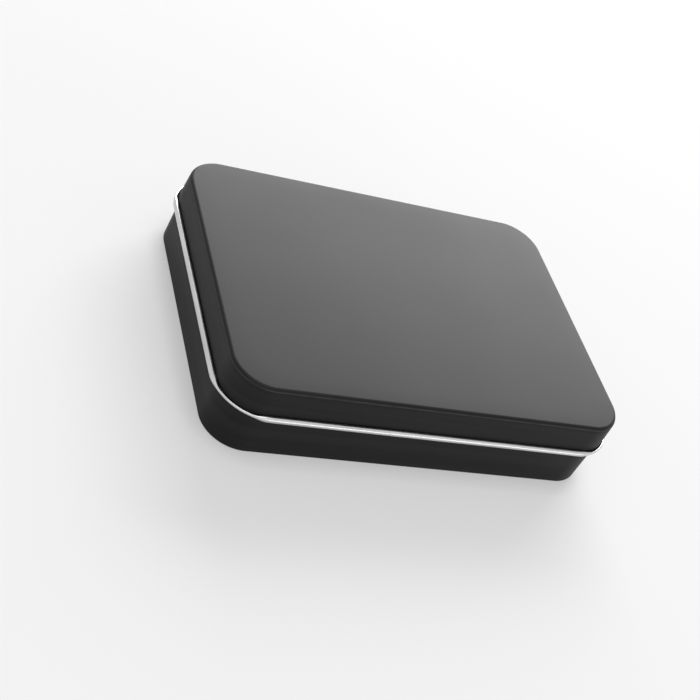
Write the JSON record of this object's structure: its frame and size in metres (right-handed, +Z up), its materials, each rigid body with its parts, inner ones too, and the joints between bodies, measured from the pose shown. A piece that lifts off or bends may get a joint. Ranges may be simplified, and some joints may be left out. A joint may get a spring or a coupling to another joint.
{
  "type": "card game tin",
  "caption": "Shallow rectangular steel tin with rounded corners and a hinged lid whose foot is rolled into a bright bead, for holding a card game.",
  "frame": {"origin": "the middle of the base's underside, where the tin stands", "axes": "+X along the tin's long side, +Y to the hinged side, +Z up through the lid; the tin is shut"},
  "size_m": [0.115, 0.085, 0.022],
  "materials": {
    "black_enamel": "matte black baked enamel on tinplate",
    "bare_tinplate": "bright bare tinplate, as on the rolled bead, the inside and the hinge wires"
  },
  "bodies": {
    "base": {"base": "black_enamel"},
    "lid": {"lid": "black_enamel", "hinge_wire_left": "bare_tinplate", "hinge_wire_right": "bare_tinplate"}
  },
  "joints": [
    {"name": "lid_hinge", "type": "hinge", "parent": "base", "child": "lid", "pos_m": [0, 0.0417, 0.01335], "axis": [-1, 0, 0], "range_deg": [0, 183.3]}
  ]
}
